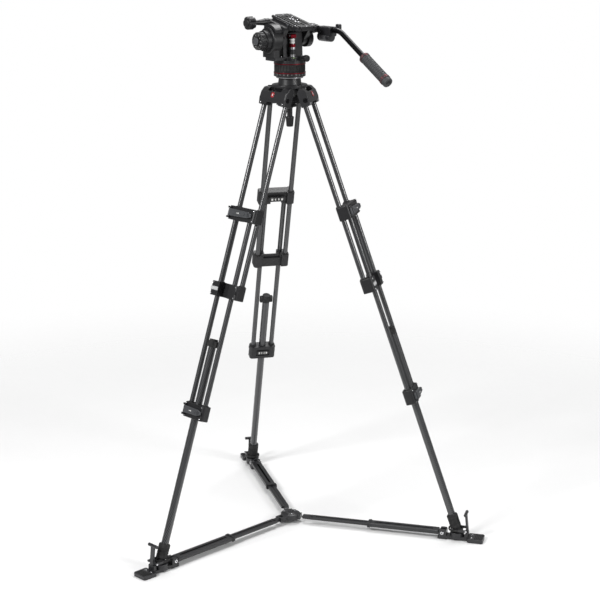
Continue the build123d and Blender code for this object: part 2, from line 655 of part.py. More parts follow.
def footprint_centre(nodes):
    """The middle of the box round the whole tripod, as X and Y."""
    boxes = [shape.bounding_box() for shape in nodes.values()]
    low_x = min(b.min.X for b in boxes)
    high_x = max(b.max.X for b in boxes)
    low_y = min(b.min.Y for b in boxes)
    high_y = max(b.max.Y for b in boxes)
    return (low_x + high_x) / 2, (low_y + high_y) / 2


def main():
    """Write one STEP file for each node; the origin is on the floor, in the middle of the box round the part."""
    os.makedirs("parts", exist_ok=True)
    nodes = build()
    centre_x, centre_y = footprint_centre(nodes)
    print(f"tripod axis at X {-centre_x:.3f}, Y {-centre_y:.3f}, foot radius {foot_radius():.3f}")
    for name, shape in nodes.items():
        export_step(Pos(-centre_x, -centre_y, 0) * shape, f"parts/{name}.step")


main()
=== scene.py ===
import json
import math

import bmesh
import bpy
from mathutils import Matrix, Vector


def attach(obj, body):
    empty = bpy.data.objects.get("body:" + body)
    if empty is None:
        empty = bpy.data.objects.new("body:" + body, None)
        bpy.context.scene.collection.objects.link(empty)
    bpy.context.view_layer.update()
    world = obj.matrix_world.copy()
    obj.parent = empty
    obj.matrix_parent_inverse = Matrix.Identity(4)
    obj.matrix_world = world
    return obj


# Studio picture of a camera tripod with a ground spreader and a fluid head.
# Sizes of added pieces are in millimetres, in the frame of the part that they sit on.
# MM turns them into metres.

MM = 0.001

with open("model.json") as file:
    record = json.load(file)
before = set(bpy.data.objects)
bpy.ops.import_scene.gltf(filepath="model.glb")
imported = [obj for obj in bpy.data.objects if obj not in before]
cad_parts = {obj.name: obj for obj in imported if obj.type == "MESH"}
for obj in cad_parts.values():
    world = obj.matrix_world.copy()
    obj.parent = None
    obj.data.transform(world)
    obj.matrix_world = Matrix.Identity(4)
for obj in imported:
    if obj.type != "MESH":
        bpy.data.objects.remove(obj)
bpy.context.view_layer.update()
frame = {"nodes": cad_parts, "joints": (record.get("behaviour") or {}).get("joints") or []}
JOINTS = {joint["name"]: joint for joint in frame["joints"]}
LEGS = ("a", "b", "c")


# ------------------------------------------------------------------ frames


def frame_matrix(origin, x_axis, z_axis):
    """A matrix whose columns are X, Y, Z and the origin."""
    z = Vector(z_axis).normalized()
    y = z.cross(Vector(x_axis)).normalized()
    x = y.cross(z)
    matrix = Matrix((x, y, z)).transposed().to_4x4()
    matrix.translation = Vector(origin)
    return matrix


def tripod_axis():
    """The tripod's own axis, as X and Y."""
    return Vector(JOINTS["pan"]["pos_m"][:2])


def head_frame():
    """The head's frame at the bowl's centre: X is the operator's right, Y the lens direction."""
    return frame_matrix(JOINTS["bowl_level"]["pos_m"], JOINTS["tilt"]["axis"], (0, 0, 1))


def leg_frame(name):
    """A leg's frame at its hinge pin: X is outwards and -Z is down the leg."""
    down = Vector(JOINTS[f"leg_{name}_middle_slide"]["axis"])
    pin = -Vector(JOINTS[f"leg_{name}_spread"]["axis"])
    return frame_matrix(JOINTS[f"leg_{name}_spread"]["pos_m"], pin.cross(-down), -down)


def foot_frame(name):
    """A foot plate's frame on the floor below the boot's ball: X is outwards."""
    pin = -Vector(JOINTS[f"leg_{name}_foot_tilt"]["axis"])
    x, y, z = JOINTS[f"leg_{name}_foot_tilt"]["pos_m"]
    return frame_matrix((x, y, 0), pin.cross(Vector((0, 0, 1))), (0, 0, 1))


def saddle_frame():
    """The tilting saddle's frame: the head's frame, leaned back about the tilt axis as at rest."""
    lean = math.asin(JOINTS["plate_slide"]["axis"][2])
    axis = Matrix.Translation((0, 0, TILT_AXIS_Z * MM))
    return HEAD @ axis @ Matrix.Rotation(lean, 4, "X") @ axis.inverted()


TILT_AXIS_Z = 147  # height of the tilt axis over the bowl's centre
HEAD = head_frame()
SADDLE = saddle_frame()
LEG = {name: leg_frame(name) for name in LEGS}
FOOT = {name: foot_frame(name) for name in LEGS}


# ------------------------------------------------------------------ material building


class Shader:
    """A small helper that adds nodes to one material and links them by socket name."""

    def __init__(self, name, color, metallic=0.0, roughness=0.5, coat=0.0, coat_roughness=0.1, specular=0.5):
        self.material = bpy.data.materials.new(name)
        self.material.use_nodes = True
        self.tree = self.material.node_tree
        self.surface = self.tree.nodes["Principled BSDF"]
        self.surface.inputs["Base Color"].default_value = (*color, 1.0)
        self.surface.inputs["Metallic"].default_value = metallic
        self.surface.inputs["Roughness"].default_value = roughness
        self.surface.inputs["Coat Weight"].default_value = coat
        self.surface.inputs["Coat Roughness"].default_value = coat_roughness
        self.surface.inputs["Specular IOR Level"].default_value = specular

    def node(self, kind, **settings):
        """Adds a node; settings are its properties."""
        made = self.tree.nodes.new(kind)
        for key, value in settings.items():
            setattr(made, key, value)
        return made

    def link(self, out_socket, in_socket):
        self.tree.links.new(out_socket, in_socket)

    def position(self):
        """The place in the row frame, which is the object's own coordinates at rest."""
        return self.node("ShaderNodeTexCoord").outputs["Object"]

    def math(self, operation, a, b=None):
        """A math node on sockets or numbers."""
        made = self.node("ShaderNodeMath", operation=operation)
        for socket, value in zip(made.inputs, (a, b)):
            if value is None:
                continue
            if isinstance(value, (int, float)):
                socket.default_value = value
            else:
                self.link(value, socket)
        return made.outputs[0]

    def noise(self, scale, detail=4.0, roughness=0.55, vector=None):
        """Grain of a given scale, in features per metre."""
        made = self.node("ShaderNodeTexNoise")
        made.inputs["Scale"].default_value = scale
        made.inputs["Detail"].default_value = detail
        made.inputs["Roughness"].default_value = roughness
        self.link(vector or self.position(), made.inputs["Vector"])
        return made.outputs["Fac"]

    def ramp(self, factor, stops):
        """A colour ramp with (place, colour) stops."""
        made = self.node("ShaderNodeValToRGB")
        elements = made.color_ramp.elements
        while len(elements) < len(stops):
            elements.new(0.5)
        for element, (place, color) in zip(elements, stops):
            element.position = place
            element.color = (*color, 1.0)
        self.link(factor, made.inputs["Fac"])
        return made.outputs["Color"]

    def spread(self, factor, low, high):
        """Maps 0..1 to low..high."""
        made = self.node("ShaderNodeMapRange")
        made.inputs["To Min"].default_value = low
        made.inputs["To Max"].default_value = high
        self.link(factor, made.inputs["Value"])
        return made.outputs["Result"]

    def mix(self, factor, a, b):
        """Mixes two colours, each a socket or an (r, g, b)."""
        made = self.node("ShaderNodeMix", data_type="RGBA")
        self.link(factor, made.inputs["Factor"])
        for socket, value in ((made.inputs[6], a), (made.inputs[7], b)):
            if isinstance(value, tuple):
                socket.default_value = (*value, 1.0)
            else:
                self.link(value, socket)
        return made.outputs[2]

    def bump(self, height, distance, strength=0.5):
        """Bump over a slightly rounded edge."""
        edge = self.node("ShaderNodeBevel", samples=4)
        edge.inputs["Radius"].default_value = EDGE_ROUND
        made = self.node("ShaderNodeBump")
        made.inputs["Strength"].default_value = strength
        made.inputs["Distance"].default_value = distance
        self.link(height, made.inputs["Height"])
        self.link(edge.outputs["Normal"], made.inputs["Normal"])
        self.link(made.outputs["Normal"], self.surface.inputs["Normal"])

    def edge_wear(self):
        """Nearly 0 on flats and up to 1 where the surface turns over an edge; it paints edges paler, partly
        as wear and partly as a painted highlight.
        """
        edge = self.node("ShaderNodeBevel", samples=4)
        edge.inputs["Radius"].default_value = EDGE_ROUND * 1.6
        flat = self.node("ShaderNodeNewGeometry")
        dot = self.node("ShaderNodeVectorMath", operation="DOT_PRODUCT")
        self.link(edge.outputs["Normal"], dot.inputs[0])
        self.link(flat.outputs["Normal"], dot.inputs[1])
        return self.math("SUBTRACT", 1.0, dot.outputs["Value"])

    def color(self, socket):
        self.link(socket, self.surface.inputs["Base Color"])

    def roughness(self, socket):
        self.link(socket, self.surface.inputs["Roughness"])


EDGE_ROUND = 0.0007


def powder_coat(name, base=(0.010, 0.010, 0.0115), rough=0.36):
    """Cast metal under a fine black powder coat, a little paler along its edges, partly as wear and partly as
    a painted highlight.
    """
    s = Shader(name, base, 0.0, rough, 0.12, 0.3, 0.5)
    fine = s.noise(2600, 3)
    broad = s.noise(35, 3)
    pale = tuple(min(1.0, c * 2.2 + 0.012) for c in base)
    body = s.mix(s.spread(broad, 0.0, 0.45), base, pale)
    # edges painted paler: patchy wear, and also a painted highlight where the edges would catch the light
    worn_and_highlit = s.math("MULTIPLY", s.edge_wear(), s.spread(s.noise(180, 4), 0.6, 2.6))
    s.color(s.mix(worn_and_highlit, body, (0.12, 0.12, 0.125)))
    s.roughness(s.spread(s.noise(420, 4), rough - 0.09, rough + 0.1))
    s.bump(fine, 0.00012, 0.35)
    return s.material


def moulded(name, base, rough=0.46, grain=1500):
    """Glass-filled black plastic with a spark-eroded grain, its edges painted paler, partly as wear and
    partly as a painted highlight.
    """
    s = Shader(name, base, 0.0, rough, 0.0, 0.2, 0.45)
    broad = s.noise(28, 2)
    pale = tuple(c * 1.7 + 0.006 for c in base)
    # edges painted paler, partly as wear and partly as a painted highlight
    worn_and_highlit = s.math("MULTIPLY", s.edge_wear(), 1.2)
    s.color(s.mix(worn_and_highlit, s.mix(s.spread(broad, 0.0, 0.6), base, pale), tuple(c * 2.4 + 0.03 for c in base)))
    s.roughness(s.spread(s.noise(300, 3), rough - 0.08, rough + 0.1))
    s.bump(s.noise(grain, 2), 0.00016, 0.4)
    return s.material


def anodised(name, base, rough=0.3):
    """Turned and anodised aluminium with fine tool lines round the axis."""
    s = Shader(name, base, 0.85, rough, 0.15, 0.15, 0.5)
    lines = s.node("ShaderNodeTexWave", wave_type="BANDS", bands_direction="Z")
    lines.inputs["Scale"].default_value = 700
    lines.inputs["Distortion"].default_value = 0.6
    s.link(s.position(), lines.inputs["Vector"])
    deep = tuple(c * 0.72 for c in base)
    s.color(s.mix(s.spread(s.noise(60, 3), 0.0, 0.7), base, deep))
    s.roughness(s.spread(s.noise(350, 3), rough - 0.06, rough + 0.12))
    s.bump(lines.outputs["Fac"], 0.00004, 0.3)
    return s.material


def bare_metal(name, base=(0.62, 0.62, 0.64), rough=0.24):
    """Polished steel or bare aluminium with faint smears."""
    s = Shader(name, base, 1.0, rough)
    s.color(s.mix(s.spread(s.noise(90, 4), 0.0, 0.5), base, tuple(c * 0.78 for c in base)))
    s.roughness(s.spread(s.noise(500, 4), rough - 0.07, rough + 0.12))
    s.bump(s.noise(900, 2), 0.00003, 0.3)
    return s.material


def rubber(name, base=(0.013, 0.013, 0.0135)):
    """Matt rubber with a fine skin and a little dust."""
    s = Shader(name, base, 0.0, 0.72, 0.0, 0.2, 0.35)
    dust = s.ramp(s.noise(120, 5), ((0.45, base), (0.85, (0.045, 0.044, 0.042))))
    s.color(dust)
    s.roughness(s.spread(s.noise(240, 3), 0.6, 0.85))
    s.bump(s.noise(1900, 3), 0.0002, 0.5)
    return s.material


def paint(name, base, rough=0.38):
    """Printed or enamelled colour, slightly uneven."""
    s = Shader(name, base, 0.0, rough, 0.2, 0.15)
    s.color(s.mix(s.spread(s.noise(400, 4), 0.0, 0.35), base, tuple(c * 0.7 for c in base)))
    s.roughness(s.spread(s.noise(250, 3), rough - 0.08, rough + 0.1))
    s.bump(s.noise(1200, 2), 0.00004, 0.3)
    return s.material


CARBON_TOW = 0.0021


def carbon(name, place, centre_x, centre_y, radius):
    """Lacquered 2x2 twill carbon tube, with the weave's sheen and shade painted into its colour. The weave is
    wound round the tubes' own axes.

    place is the leg's frame; the tubes stand at X centre_x and Y plus and minus centre_y.
    """
    s = Shader(name, (0.03, 0.03, 0.033), 0.0, 0.34, 0.75, 0.16, 0.5)
    to_leg = place.inverted()
    rows = []
    for row in range(3):
        dot = s.node("ShaderNodeVectorMath", operation="DOT_PRODUCT")
        s.link(s.position(), dot.inputs[0])
        dot.inputs[1].default_value = tuple(to_leg[row][:3])
        rows.append(s.math("ADD", dot.outputs["Value"], to_leg[row][3]))
    x = s.math("SUBTRACT", rows[0], centre_x)
    y = s.math("SUBTRACT", s.math("ABSOLUTE", rows[1]), centre_y) if centre_y else rows[1]
    turn = s.math("ARCTAN2", y, x)
    tows_round = round(2 * math.pi * radius / CARBON_TOW / 4) * 4
    u = s.math("MULTIPLY", turn, tows_round / (2 * math.pi))
    v = s.math("DIVIDE", rows[2], CARBON_TOW)
    # tow number round the tube plus tow number along it, modulo 4, says which tow is on top
    step = s.math("ADD", s.math("FLOOR", u), s.math("FLOOR", v))
    over = s.math("LESS_THAN", s.math("FLOORED_MODULO", step, 4.0), 2.0)
    across_u = s.math("ABSOLUTE", s.math("SUBTRACT", s.math("FRACT", u), 0.5))
    across_v = s.math("ABSOLUTE", s.math("SUBTRACT", s.math("FRACT", v), 0.5))
    crown_u = s.math("SUBTRACT", 1.0, s.math("MULTIPLY", across_u, 1.7))
    crown_v = s.math("SUBTRACT", 1.0, s.math("MULTIPLY", across_v, 1.7))
    pick = s.node("ShaderNodeMix", data_type="FLOAT")
    s.link(over, pick.inputs["Factor"])
    s.link(crown_u, pick.inputs[2])
    s.link(crown_v, pick.inputs[3])
    height = pick.outputs[0]
    # painted sheen and shade: tows lying one way are painted lighter than tows lying the other, and each tow
    # is painted darker from its crown to its edges, where the tows meet
    light = s.mix(over, (0.020, 0.021, 0.023), (0.085, 0.087, 0.092))
    shade = s.mix(s.spread(height, 0.0, 0.75), (0.008, 0.008, 0.009), light)
    s.color(s.mix(s.spread(s.noise(60, 4), 0.0, 0.4), shade, (0.05, 0.051, 0.054)))
    s.roughness(s.spread(over, 0.26, 0.44))
    s.bump(height, 0.00008, 0.4)
    return s.material


def leg_tube_materials():
    """The carbon of each leg's three stages, measured from the leg's own frame."""
    made = {}
    for name in LEGS:
        base = f"leg_{name}_"
        made[base + "upper_tubes"] = carbon(f"carbon_{name}_upper", LEG[name], -9 * MM, 50 * MM, 8.25 * MM)
        made[base + "middle_tubes"] = carbon(f"carbon_{name}_middle", LEG[name], 10 * MM, 34 * MM, 8.25 * MM)
        made[base + "lower_tube"] = carbon(f"carbon_{name}_lower", LEG[name], 10 * MM, 0.0, 12.5 * MM)
    return made


CAST = powder_coat("cast_black")
BLACK = moulded("moulded_black", (0.009, 0.009, 0.010), 0.4)
LEVER_GREY = moulded("moulded_grey", (0.05, 0.052, 0.056), 0.4)
RED = anodised("anodised_red", (0.20, 0.004, 0.012))
SILVER = bare_metal("bare_metal")
STEEL = bare_metal("steel", (0.74, 0.74, 0.76), 0.16)
RUBBER = rubber("rubber_black")
GRIP_RUBBER = moulded("grip_grey", (0.035, 0.036, 0.038), 0.58, 900)
BAR_BLACK = anodised("anodised_black", (0.012, 0.012, 0.0135), 0.24)
WHITE = paint("print_white", (0.72, 0.72, 0.70))
RED_PAINT = paint("enamel_red", (0.42, 0.01, 0.02), 0.3)
GREY_PAINT = paint("label_grey", (0.55, 0.56, 0.57))
BAND_GREY = paint("band_grey", (0.10, 0.10, 0.105), 0.3)
VIAL = paint("vial_green", (0.35, 0.62, 0.12), 0.08)


def dress_frame():
    """Gives every CAD node its material; castings are the default."""
    by_node = {
        "base_ring": CAST,
        "pan_bar": BAR_BLACK,
        "top_ring": CAST,
        "piston_clevis": RED,
        "piston_barrel": SILVER,
        "camera_screws": STEEL,
        "hip_pins": STEEL,
        "pan_drag_ring": RUBBER,
        "grip": GRIP_RUBBER,
        "balance_housing": BLACK,
        "balance_knob": BLACK,
        "plate_lock_knob": BLACK,
        "pan_lock_knob": BLACK,
        "bowl_clamp": BLACK,
    }
    for name in LEGS:
        base = f"leg_{name}_"
        by_node[base + "middle_lock"] = BLACK
        by_node[base + "lower_lock"] = BLACK
        by_node[base + "collar"] = BLACK
        by_node[base + "middle_lever"] = LEVER_GREY
        by_node[base + "lower_lever"] = LEVER_GREY
        by_node[base + "boot_and_guide"] = RUBBER
    by_node.update(leg_tube_materials())
    for name, node in frame["nodes"].items():
        material = by_node.get(name, CAST)
        node.data.materials.clear()
        node.data.materials.append(material)


dress_frame()


# ------------------------------------------------------------------ mesh helpers (millimetres)


def finish_piece(name, bm, place, body, material, smooth_angle=35):
    """Turns a bmesh in millimetres into a piece that rides on a body."""
    bmesh.ops.recalc_face_normals(bm, faces=bm.faces)
    mesh = bpy.data.meshes.new(name)
    bm.to_mesh(mesh)
    bm.free()
    mesh.transform(place @ Matrix.Scale(MM, 4))
    mesh.materials.append(material)
    mesh.polygons.foreach_set("use_smooth", [True] * len(mesh.polygons))
    mesh.set_sharp_from_angle(angle=math.radians(smooth_angle))
    piece = bpy.data.objects.new(name, mesh)
    bpy.context.scene.collection.objects.link(piece)
    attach(piece, body)


def add_lathe(bm, profile, segments=48, place=None):
    """Turns a line of (radius, height) points about Z and closes its open ends."""
    start = len(bm.verts)
    rings = []
    for k in range(segments):
        angle = 2 * math.pi * k / segments
        rings.append([bm.verts.new((r * math.cos(angle), r * math.sin(angle), z)) for r, z in profile])
    count = len(profile)
    for k in range(segments):
        here, there = rings[k], rings[(k + 1) % segments]
        for i in range(count - 1):
            bm.faces.new((here[i], there[i], there[i + 1], here[i + 1]))
    for index, flip in ((0, False), (count - 1, True)):
        if profile[index][0] > 1e-6:
            loop = [ring[index] for ring in rings]
            bm.faces.new(loop if flip else loop[::-1])
    bm.verts.ensure_lookup_table()
    if place is not None:
        bmesh.ops.transform(bm, matrix=place, verts=bm.verts[start:])


def add_ring(bm, profile, place, segments=40):
    """Turns a closed loop of (radius, height) points into a ring."""
    start = len(bm.verts)
    rings = []
    for k in range(segments):
        angle = 2 * math.pi * k / segments
        rings.append([bm.verts.new((r * math.cos(angle), r * math.sin(angle), z)) for r, z in profile])
    count = len(profile)
    for k in range(segments):
        here, there = rings[k], rings[(k + 1) % segments]
        for i in range(count):
            j = (i + 1) % count
            bm.faces.new((here[i], there[i], there[j], here[j]))
    bm.verts.ensure_lookup_table()
    bmesh.ops.transform(bm, matrix=place, verts=bm.verts[start:])


def add_plate(bm, outline, thick, bevel, place=None):
    """An extruded outline in X and Y, from Z = 0 up, with its top rim bevelled."""
    low = [bm.verts.new((x, y, 0)) for x, y in outline]
    top = [bm.verts.new((x, y, thick - bevel)) for x, y in outline]
    middle = Vector((sum(x for x, _ in outline), sum(y for _, y in outline))) / len(outline)
    inner = []
    for x, y in outline:
        inwards = (middle - Vector((x, y))).normalized() * bevel
        inner.append(bm.verts.new((x + inwards.x, y + inwards.y, thick)))
    count = len(outline)
    bm.faces.new(low[::-1])
    bm.faces.new(inner)
    for i in range(count):
        j = (i + 1) % count
        bm.faces.new((low[i], low[j], top[j], top[i]))
        bm.faces.new((top[i], top[j], inner[j], inner[i]))
    if place is not None:
        bmesh.ops.transform(bm, matrix=place, verts=low + top + inner)


def rounded_outline(wide, long, radius, steps=5):
    """The outline of a rectangle with round corners, centred on the origin."""
    points = []
    corners = ((1, 1, 0), (-1, 1, 90), (-1, -1, 180), (1, -1, 270))
    for sx, sy, start in corners:
        cx = sx * (wide / 2 - radius)
        cy = sy * (long / 2 - radius)
        for k in range(steps + 1):
            angle = math.radians(start + 90 * k / steps)
            points.append((cx + radius * math.cos(angle), cy + radius * math.sin(angle)))
    return points


def shift(x, y, z):
    return Matrix.Translation((x, y, z))


def turn_x(degrees):
    return Matrix.Rotation(math.radians(degrees), 4, "X")


def turn_y(degrees):
    return Matrix.Rotation(math.radians(degrees), 4, "Y")


def turn_z(degrees):
    return Matrix.Rotation(math.radians(degrees), 4, "Z")


def screw_head(bm, radius, tall, place):
    """A socket-head screw: a rounded head with a round recess."""
    profile = [(radius, 0), (radius, tall * 0.7), (radius * 0.86, tall), (radius * 0.5, tall)]
    add_lathe(bm, profile + [(radius * 0.5, tall * 0.45), (0.001, tall * 0.4)], 12, place)


def facing_out(x, y, z):
    """A place on a leg's outer face: the piece's Z points out of the face and its X along the pin."""
    return shift(x, y, z) @ Matrix(((0, 0, 1, 0), (1, 0, 0, 0), (0, 1, 0, 0), (0, 0, 0, 1)))


def cylinder_along(bm, radius, a, b, segments=24, bevel=0.6):
    """A round bar with bevelled ends between two points."""
    a = Vector(a)
    b = Vector(b)
    long = (b - a).length
    turn = (b - a).to_track_quat("Z", "Y").to_matrix().to_4x4()
    profile = [(radius - bevel, 0), (radius, bevel), (radius, long - bevel), (radius - bevel, long)]
    add_lathe(bm, profile, segments, Matrix.Translation(a) @ turn)


# ------------------------------------------------------------------ legs


# X of the blocks' outer faces, and the tilt of the shoulder's face in degrees
SHOULDER_FACE = 11.6
SHOULDER_SLANT = 5.2
COLLAR_FACE = 23.0
LOCK_FACE = 24.0
LOWER_LOCK_FACE = 28.0
COLLAR_MIDDLE = -646
TUBE_OUT = 8.25  # outer radius of the twin tubes


def shoulder_badge(name):
    """A plain red badge with a pale bar, in a raised black frame on the shoulder's outer face."""
    place = facing_out(SHOULDER_FACE, 0, 12) @ slant(SHOULDER_SLANT)
    for piece, wide, tall, thick, slot, material in (
            ("frame", 17, 21, 1.3, "black_metal", CAST),
            ("badge", 13, 17, 1.9, "red_metal", RED_PAINT),
            ("bar", 4.2, 8, 2.3, "grey_plastic", WHITE)):
        bm = bmesh.new()
        add_plate(bm, rounded_outline(wide, tall, wide * 0.3), thick, 0.4, place)
        finish_piece(f"shoulder_{name}_{piece}", bm, LEG[name], f"leg_{name}_upper", material)


def slant(degrees):
    """Leans an outward-facing place back, so that it looks a little upwards."""
    return turn_x(-degrees)


def shoulder_trim(name):
    """Pin caps and clamp screws of the shoulder."""
    bm = bmesh.new()
    for side in (-1, 1):
        end = shift(0, side * 60.8, 0) @ turn_x(-90 * side)
        add_lathe(bm, [(8.0, 0), (8.0, 1.6), (7.2, 2.3), (3.4, 2.3), (3.0, 1.2), (0.001, 1.2)], 32, end)
    finish_piece(f"shoulder_{name}_pin_caps", bm, LEG[name], f"leg_{name}_upper", BAR_BLACK)
    bm = bmesh.new()
    for side in (-1, 1):
        screw_head(bm, 3.2, 2.4, facing_out(9.6, side * 50, -14.5))
    finish_piece(f"shoulder_{name}_screws", bm, LEG[name], f"leg_{name}_upper", STEEL)


def block_trim(name, which, body, face_x, z_top, tall, wide, tube_x, tube_y):
    """Screws on the outer face of a leg block, and the sleeves where the tubes enter it."""
    bm = bmesh.new()
    for side in (-1, 1):
        for z in (z_top - 6, z_top - tall + 6):
            screw_head(bm, 2.6, 1.5, facing_out(face_x - 0.2, side * (wide / 2 - 9), z))
    finish_piece(f"leg_{name}_{which}_screws", bm, LEG[name], body, STEEL)
    bm = bmesh.new()
    for side in (-1, 1):
        collar = [(TUBE_OUT + 0.5, 0), (TUBE_OUT + 3.6, 0), (TUBE_OUT + 3.2, 2.6), (TUBE_OUT + 0.5, 3.0)]
        add_ring(bm, collar, shift(tube_x, side * tube_y, z_top - 0.2))
    finish_piece(f"leg_{name}_{which}_sleeves", bm, LEG[name], body, RUBBER)



def collar_label(name):
    """Plain strips on the collar's two outer cheeks, a pale one and a black one."""
    for piece, side, slot, material in (
            ("pale_strip", -1, "grey_plastic", GREY_PAINT),
            ("black_strip", 1, "black_plastic", BLACK)):
        bm = bmesh.new()
        add_plate(bm, rounded_outline(33, 12, 2.0), 0.9, 0.3,
                  facing_out(COLLAR_FACE, side * 43, COLLAR_MIDDLE))
        finish_piece(f"leg_{name}_collar_{piece}", bm, LEG[name], f"leg_{name}_upper", material)
    bm = bmesh.new()
    for k in range(4):
        add_plate(bm, rounded_outline(4.4, 5, 1.0), 0.5, 0.15,
                  facing_out(COLLAR_FACE + 0.8, -54 + 7 * k, COLLAR_MIDDLE))
    finish_piece(f"leg_{name}_collar_blocks", bm, LEG[name], f"leg_{name}_upper", WHITE)


def inner_label(name, which, face_x, z, wide):
    """A black plate with plain pale blocks on a lock's inner face."""
    bm = bmesh.new()
    place = facing_in(face_x, 0, z)
    add_plate(bm, rounded_outline(wide, 18, 3.0), 1.0, 0.3, place)
    finish_piece(f"leg_{name}_{which}_plate", bm, LEG[name], f"leg_{name}_middle", BLACK)
    bm = bmesh.new()
    for k, long in enumerate((7, 4, 4, 7)):
        block = place @ shift((k - 1.5) * wide * 0.2, 0, 0.8)
        add_plate(bm, rounded_outline(long * wide / 60, 8, 0.8), 0.5, 0.15, block)
    finish_piece(f"leg_{name}_{which}_blocks", bm, LEG[name], f"leg_{name}_middle", WHITE)


def facing_in(x, y, z):
    """A place on a leg's inner face, facing the tripod's axis."""
    return shift(x, y, z) @ turn_z(180) @ facing_out(0, 0, 0)


def lever_rib(name, which, face_x, y_pin, y_tip, z_middle, axis_body):
    """The raised rib and the thumb ridges of a lock lever."""
    bm = bmesh.new()
    middle = (y_pin + y_tip) / 2 - 4
    long = (y_tip - y_pin) * 0.56
    add_plate(bm, rounded_outline(long, 9, 4.2), 2.2, 0.9, facing_out(face_x + 5.9, middle, z_middle))
    for k in range(4):
        ridge = facing_out(face_x + 5.9, y_tip - 5 - 3.2 * k, z_middle)
        add_plate(bm, rounded_outline(1.4, 11 + 1.6 * k, 0.65), 1.2, 0.4, ridge)
    finish_piece(f"leg_{name}_{which}_rib", bm, LEG[name], axis_body, LEVER_GREY)
    bm = bmesh.new()
    arrow = [(-6, -1.2), (2, -1.2), (2, -3.2), (6.5, 0), (2, 3.2), (2, 1.2), (-6, 1.2)]
    add_plate(bm, arrow, 0.5, 0.1, facing_out(face_x + 8.0, middle, z_middle))
    finish_piece(f"leg_{name}_{which}_arrow", bm, LEG[name], axis_body, WHITE)


def dress_leg(name):
    """All the added pieces of one leg."""
    shoulder_badge(name)
    shoulder_trim(name)
    block_trim(name, "middle_lock", f"leg_{name}_middle", LOCK_FACE, -368, 46, 126, -9, 50)
    block_trim(name, "collar", f"leg_{name}_upper", COLLAR_FACE, -622, 48, 126, -9, 50)
    block_trim(name, "lower_lock", f"leg_{name}_middle", LOWER_LOCK_FACE, -1029, 50, 94, 10, 34)
    collar_label(name)
    inner_label(name, "middle_lock", -21, -391, 58)
    inner_label(name, "lower_lock", -9, -1054, 44)
    lever_rib(name, "middle_lever", 28, -54, 52, -391, f"leg_{name}_middle_lever_body")
    lever_rib(name, "lower_lever", 32, -38, 44, -1054, f"leg_{name}_lower_lever_body")


# ------------------------------------------------------------------ feet and spreader


SLEEVE_END = -314  # X of the sleeve's inner end in the foot's frame


def dress_foot(name):
    """Pad screws, tread, strap and catch rivets of one foot plate, and the arm's end trim."""
    body = f"leg_{name}_foot"
    bm = bmesh.new()
    for x, y in ((52, -14), (52, 14)):
        screw_head(bm, 4.2, 1.8, shift(x, y, 12.8))
    for side in (-1, 1):
        cap = shift(-50, side * 18.0, 22) @ turn_x(-90 * side)
        add_lathe(bm, [(6.2, 0), (6.2, 2.6), (5.2, 3.6), (2.4, 3.6), (2.0, 2.4), (0.001, 2.4)], 28, cap)
        rivet = shift(33, side * 23.0, 37) @ turn_x(-90 * side)
        add_lathe(bm, [(3.6, 0), (3.6, 0.8), (2.4, 1.9), (0.001, 2.2)], 20, rivet)
    finish_piece(f"foot_{name}_screws", bm, FOOT[name], body, STEEL)
    bm = bmesh.new()
    for k in range(5):
        add_plate(bm, rounded_outline(3.4, 46, 1.5), 1.2, 0.5, shift(64 + 5.6 * k, 0, 12.8))
    finish_piece(f"foot_{name}_tread", bm, FOOT[name], body, RUBBER)
    bm = bmesh.new()
    band = [(22.3, 0), (25.4, 0.8), (25.9, 4), (25.4, 7.2), (22.3, 8)]
    add_ring(bm, band, shift(-5, 0, 33))
    finish_piece(f"foot_{name}_strap", bm, FOOT[name], body, RUBBER)
    bm = bmesh.new()
    add_frame(bm, rounded_outline(40, 18, 4), rounded_outline(28.8, 8.8, 1.2), 10,
              shift(SLEEVE_END, 0, 22) @ turn_y(90))
    finish_piece(f"arm_{name}_sleeve_collar", bm, FOOT[name], f"arm_{name}_outer", BLACK)


def add_frame(bm, outer, inner, thick, place):
    """A frame between two outlines of equal point count, in Y (first) and X (second), thick along Z."""
    start = len(bm.verts)
    rows = []
    for outline, z in ((outer, 0), (outer, thick), (inner, thick), (inner, 0)):
        rows.append([bm.verts.new((y, x, z)) for x, y in outline])
    count = len(outer)
    for r in range(4):
        here, there = rows[r], rows[(r + 1) % 4]
        for i in range(count):
            j = (i + 1) % count
            bm.faces.new((here[i], here[j], there[j], there[i]))
    bm.verts.ensure_lookup_table()
    bmesh.ops.transform(bm, matrix=place, verts=bm.verts[start:])


def dress_hub():
    """The cap and screws of the spreader's hub."""
    place = foot_hub_frame()
    bm = bmesh.new()
    add_lathe(bm, [(26, 30), (25, 33), (20, 35), (9, 35.6), (8, 34), (0.001, 34)], 48)
    finish_piece("hub_cap", bm, place, "hub", BLACK)
    bm = bmesh.new()
    for k in range(3):
        angle = math.radians(60 + 120 * k)
        screw_head(bm, 3.2, 1.8, shift(22 * math.cos(angle), 22 * math.sin(angle), 34.2))
    finish_piece("hub_screws", bm, place, "hub", STEEL)


def foot_hub_frame():
    """The hub's frame on the floor below the tripod's axis."""
    axis = tripod_axis()
    place = FOOT["a"].copy()
    place.translation = Vector((axis.x, axis.y, 0))
    return place


# ------------------------------------------------------------------ head


def ring_of_marks(name, body, material, count, inner, outer, wide, place, long_every=5):
    """Tick marks round a dial face, facing along Z."""
    bm = bmesh.new()
    for k in range(count):
        start = inner if k % long_every == 0 else (inner + outer) / 2
        angle = 360.0 * k / count
        tick = turn_z(angle) @ shift((start + outer) / 2, 0, 0)
        add_plate(bm, rounded_outline(outer - start, wide, wide * 0.3, 2), 0.35, 0.1, place @ tick)
    finish_piece(name, bm, HEAD, body, material)


